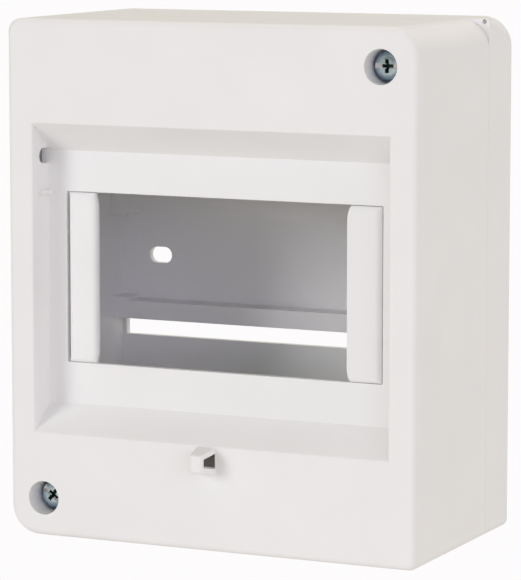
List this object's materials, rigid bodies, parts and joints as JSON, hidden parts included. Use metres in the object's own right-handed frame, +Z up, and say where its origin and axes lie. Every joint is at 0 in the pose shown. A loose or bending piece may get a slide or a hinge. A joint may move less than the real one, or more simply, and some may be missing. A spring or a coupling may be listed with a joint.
{
  "type": "breaker panel box",
  "caption": "Surface-mounted plastic breaker panel box with a moulded 35 mm rail, screw-on cover, module cut-out and blanking strips.",
  "frame": {"origin": "bottom centre of the bounding box, which the box stands on", "axes": "+Z up, -Y out of the front face, +X to the right seen from the front, +Y towards the wall"},
  "size_m": [0.1178, 0.072, 0.1385],
  "materials": {
    "cover_plastic": "light grey-white, fine satin",
    "base_plastic": "light grey-white, fine satin",
    "ring_plastic": "natural nylon",
    "neutral_plastic": "blue, matt",
    "earth_plastic": "green, matt",
    "brass": "bare brass",
    "zinc_steel": "zinc plated"
  },
  "bodies": {
    "base": {"base": "base_plastic", "neutral_carrier": "neutral_plastic", "neutral_bar": "brass", "neutral_clamp_screws": "zinc_steel", "earth_carrier": "earth_plastic", "earth_bar": "brass", "earth_clamp_screws": "zinc_steel"},
    "cover": {"cover": "cover_plastic"},
    "blanking_strip_left": {"blanking_strip_left": "cover_plastic"},
    "blanking_strip_right": {"blanking_strip_right": "cover_plastic"},
    "captive_ring_top": {"captive_ring_top": "ring_plastic"},
    "cover_screw_top": {"cover_screw_top": "zinc_steel"},
    "captive_ring_bottom": {"captive_ring_bottom": "ring_plastic"},
    "cover_screw_bottom": {"cover_screw_bottom": "zinc_steel"}
  },
  "joints": [
    {"name": "cover_lift", "type": "slide", "parent": "base", "child": "cover", "axis": [0, -1, 0], "range_m": [0, 0.06]},
    {"name": "strip_left_out", "type": "slide", "parent": "cover", "child": "blanking_strip_left", "axis": [0, -1, 0], "range_m": [0, 0.015]},
    {"name": "strip_right_out", "type": "slide", "parent": "cover", "child": "blanking_strip_right", "axis": [0, -1, 0], "range_m": [0, 0.015]},
    {"name": "screw_top_travel", "type": "slide", "parent": "cover", "child": "captive_ring_top", "axis": [0, -1, 0], "range_m": [0, 0.008]},
    {"name": "screw_top_turn", "type": "hinge", "parent": "captive_ring_top", "child": "cover_screw_top", "pos_m": [0.0488, -0.0235, 0.1284], "axis": [0, -1, 0], "range_deg": [0, 1601]},
    {"name": "screw_bottom_travel", "type": "slide", "parent": "cover", "child": "captive_ring_bottom", "axis": [0, -1, 0], "range_m": [0, 0.008]},
    {"name": "screw_bottom_turn", "type": "hinge", "parent": "captive_ring_bottom", "child": "cover_screw_bottom", "pos_m": [-0.0488, -0.0235, 0.0103], "axis": [0, -1, 0], "range_deg": [0, 1601]}
  ],
  "couplings": [
    {"joint": "screw_top_turn", "follows": "screw_top_travel", "rad_per_m": 3490.7},
    {"joint": "screw_bottom_turn", "follows": "screw_bottom_travel", "rad_per_m": 3490.7}
  ]
}
